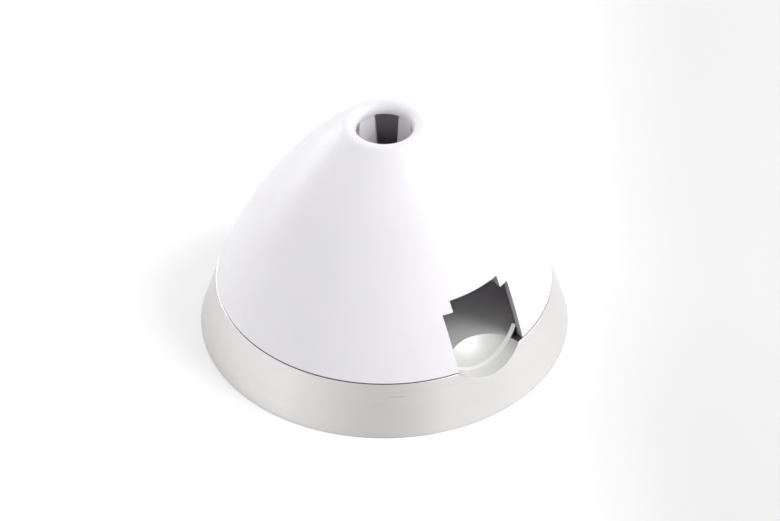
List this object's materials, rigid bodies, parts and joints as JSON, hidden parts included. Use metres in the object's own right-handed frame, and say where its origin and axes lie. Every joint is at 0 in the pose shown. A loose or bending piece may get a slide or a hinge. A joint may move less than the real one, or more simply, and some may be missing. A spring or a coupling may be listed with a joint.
{
  "type": "propeller spinner",
  "caption": "Ogive spinner for a folding propeller, with an open air inlet at the nose, blade root openings in the cap and a turned aluminium base ring.",
  "frame": {"origin": "centre of the rear face, on the shaft axis", "axes": "+Z forward along the shaft towards the nose, X along the blade axis through the two blade openings"},
  "size_m": [0.038, 0.038, 0.0253],
  "materials": {
    "cap_plastic": "white moulded plastic, satin gloss",
    "turned_aluminium": "fine turned, satin",
    "plate_aluminium": "turned, satin",
    "collet_steel": "turned bright steel",
    "fastener_steel": "zinc plated",
    "screw_steel": "blackened"
  },
  "bodies": {
    "root": {"spinner_cap": "cap_plastic", "rim_ring": "turned_aluminium", "hub_plate": "plate_aluminium", "collet_stud": "collet_steel", "clamp_washer": "fastener_steel", "clamp_nut": "fastener_steel", "cap_screw": "screw_steel"}
  },
  "joints": []
}
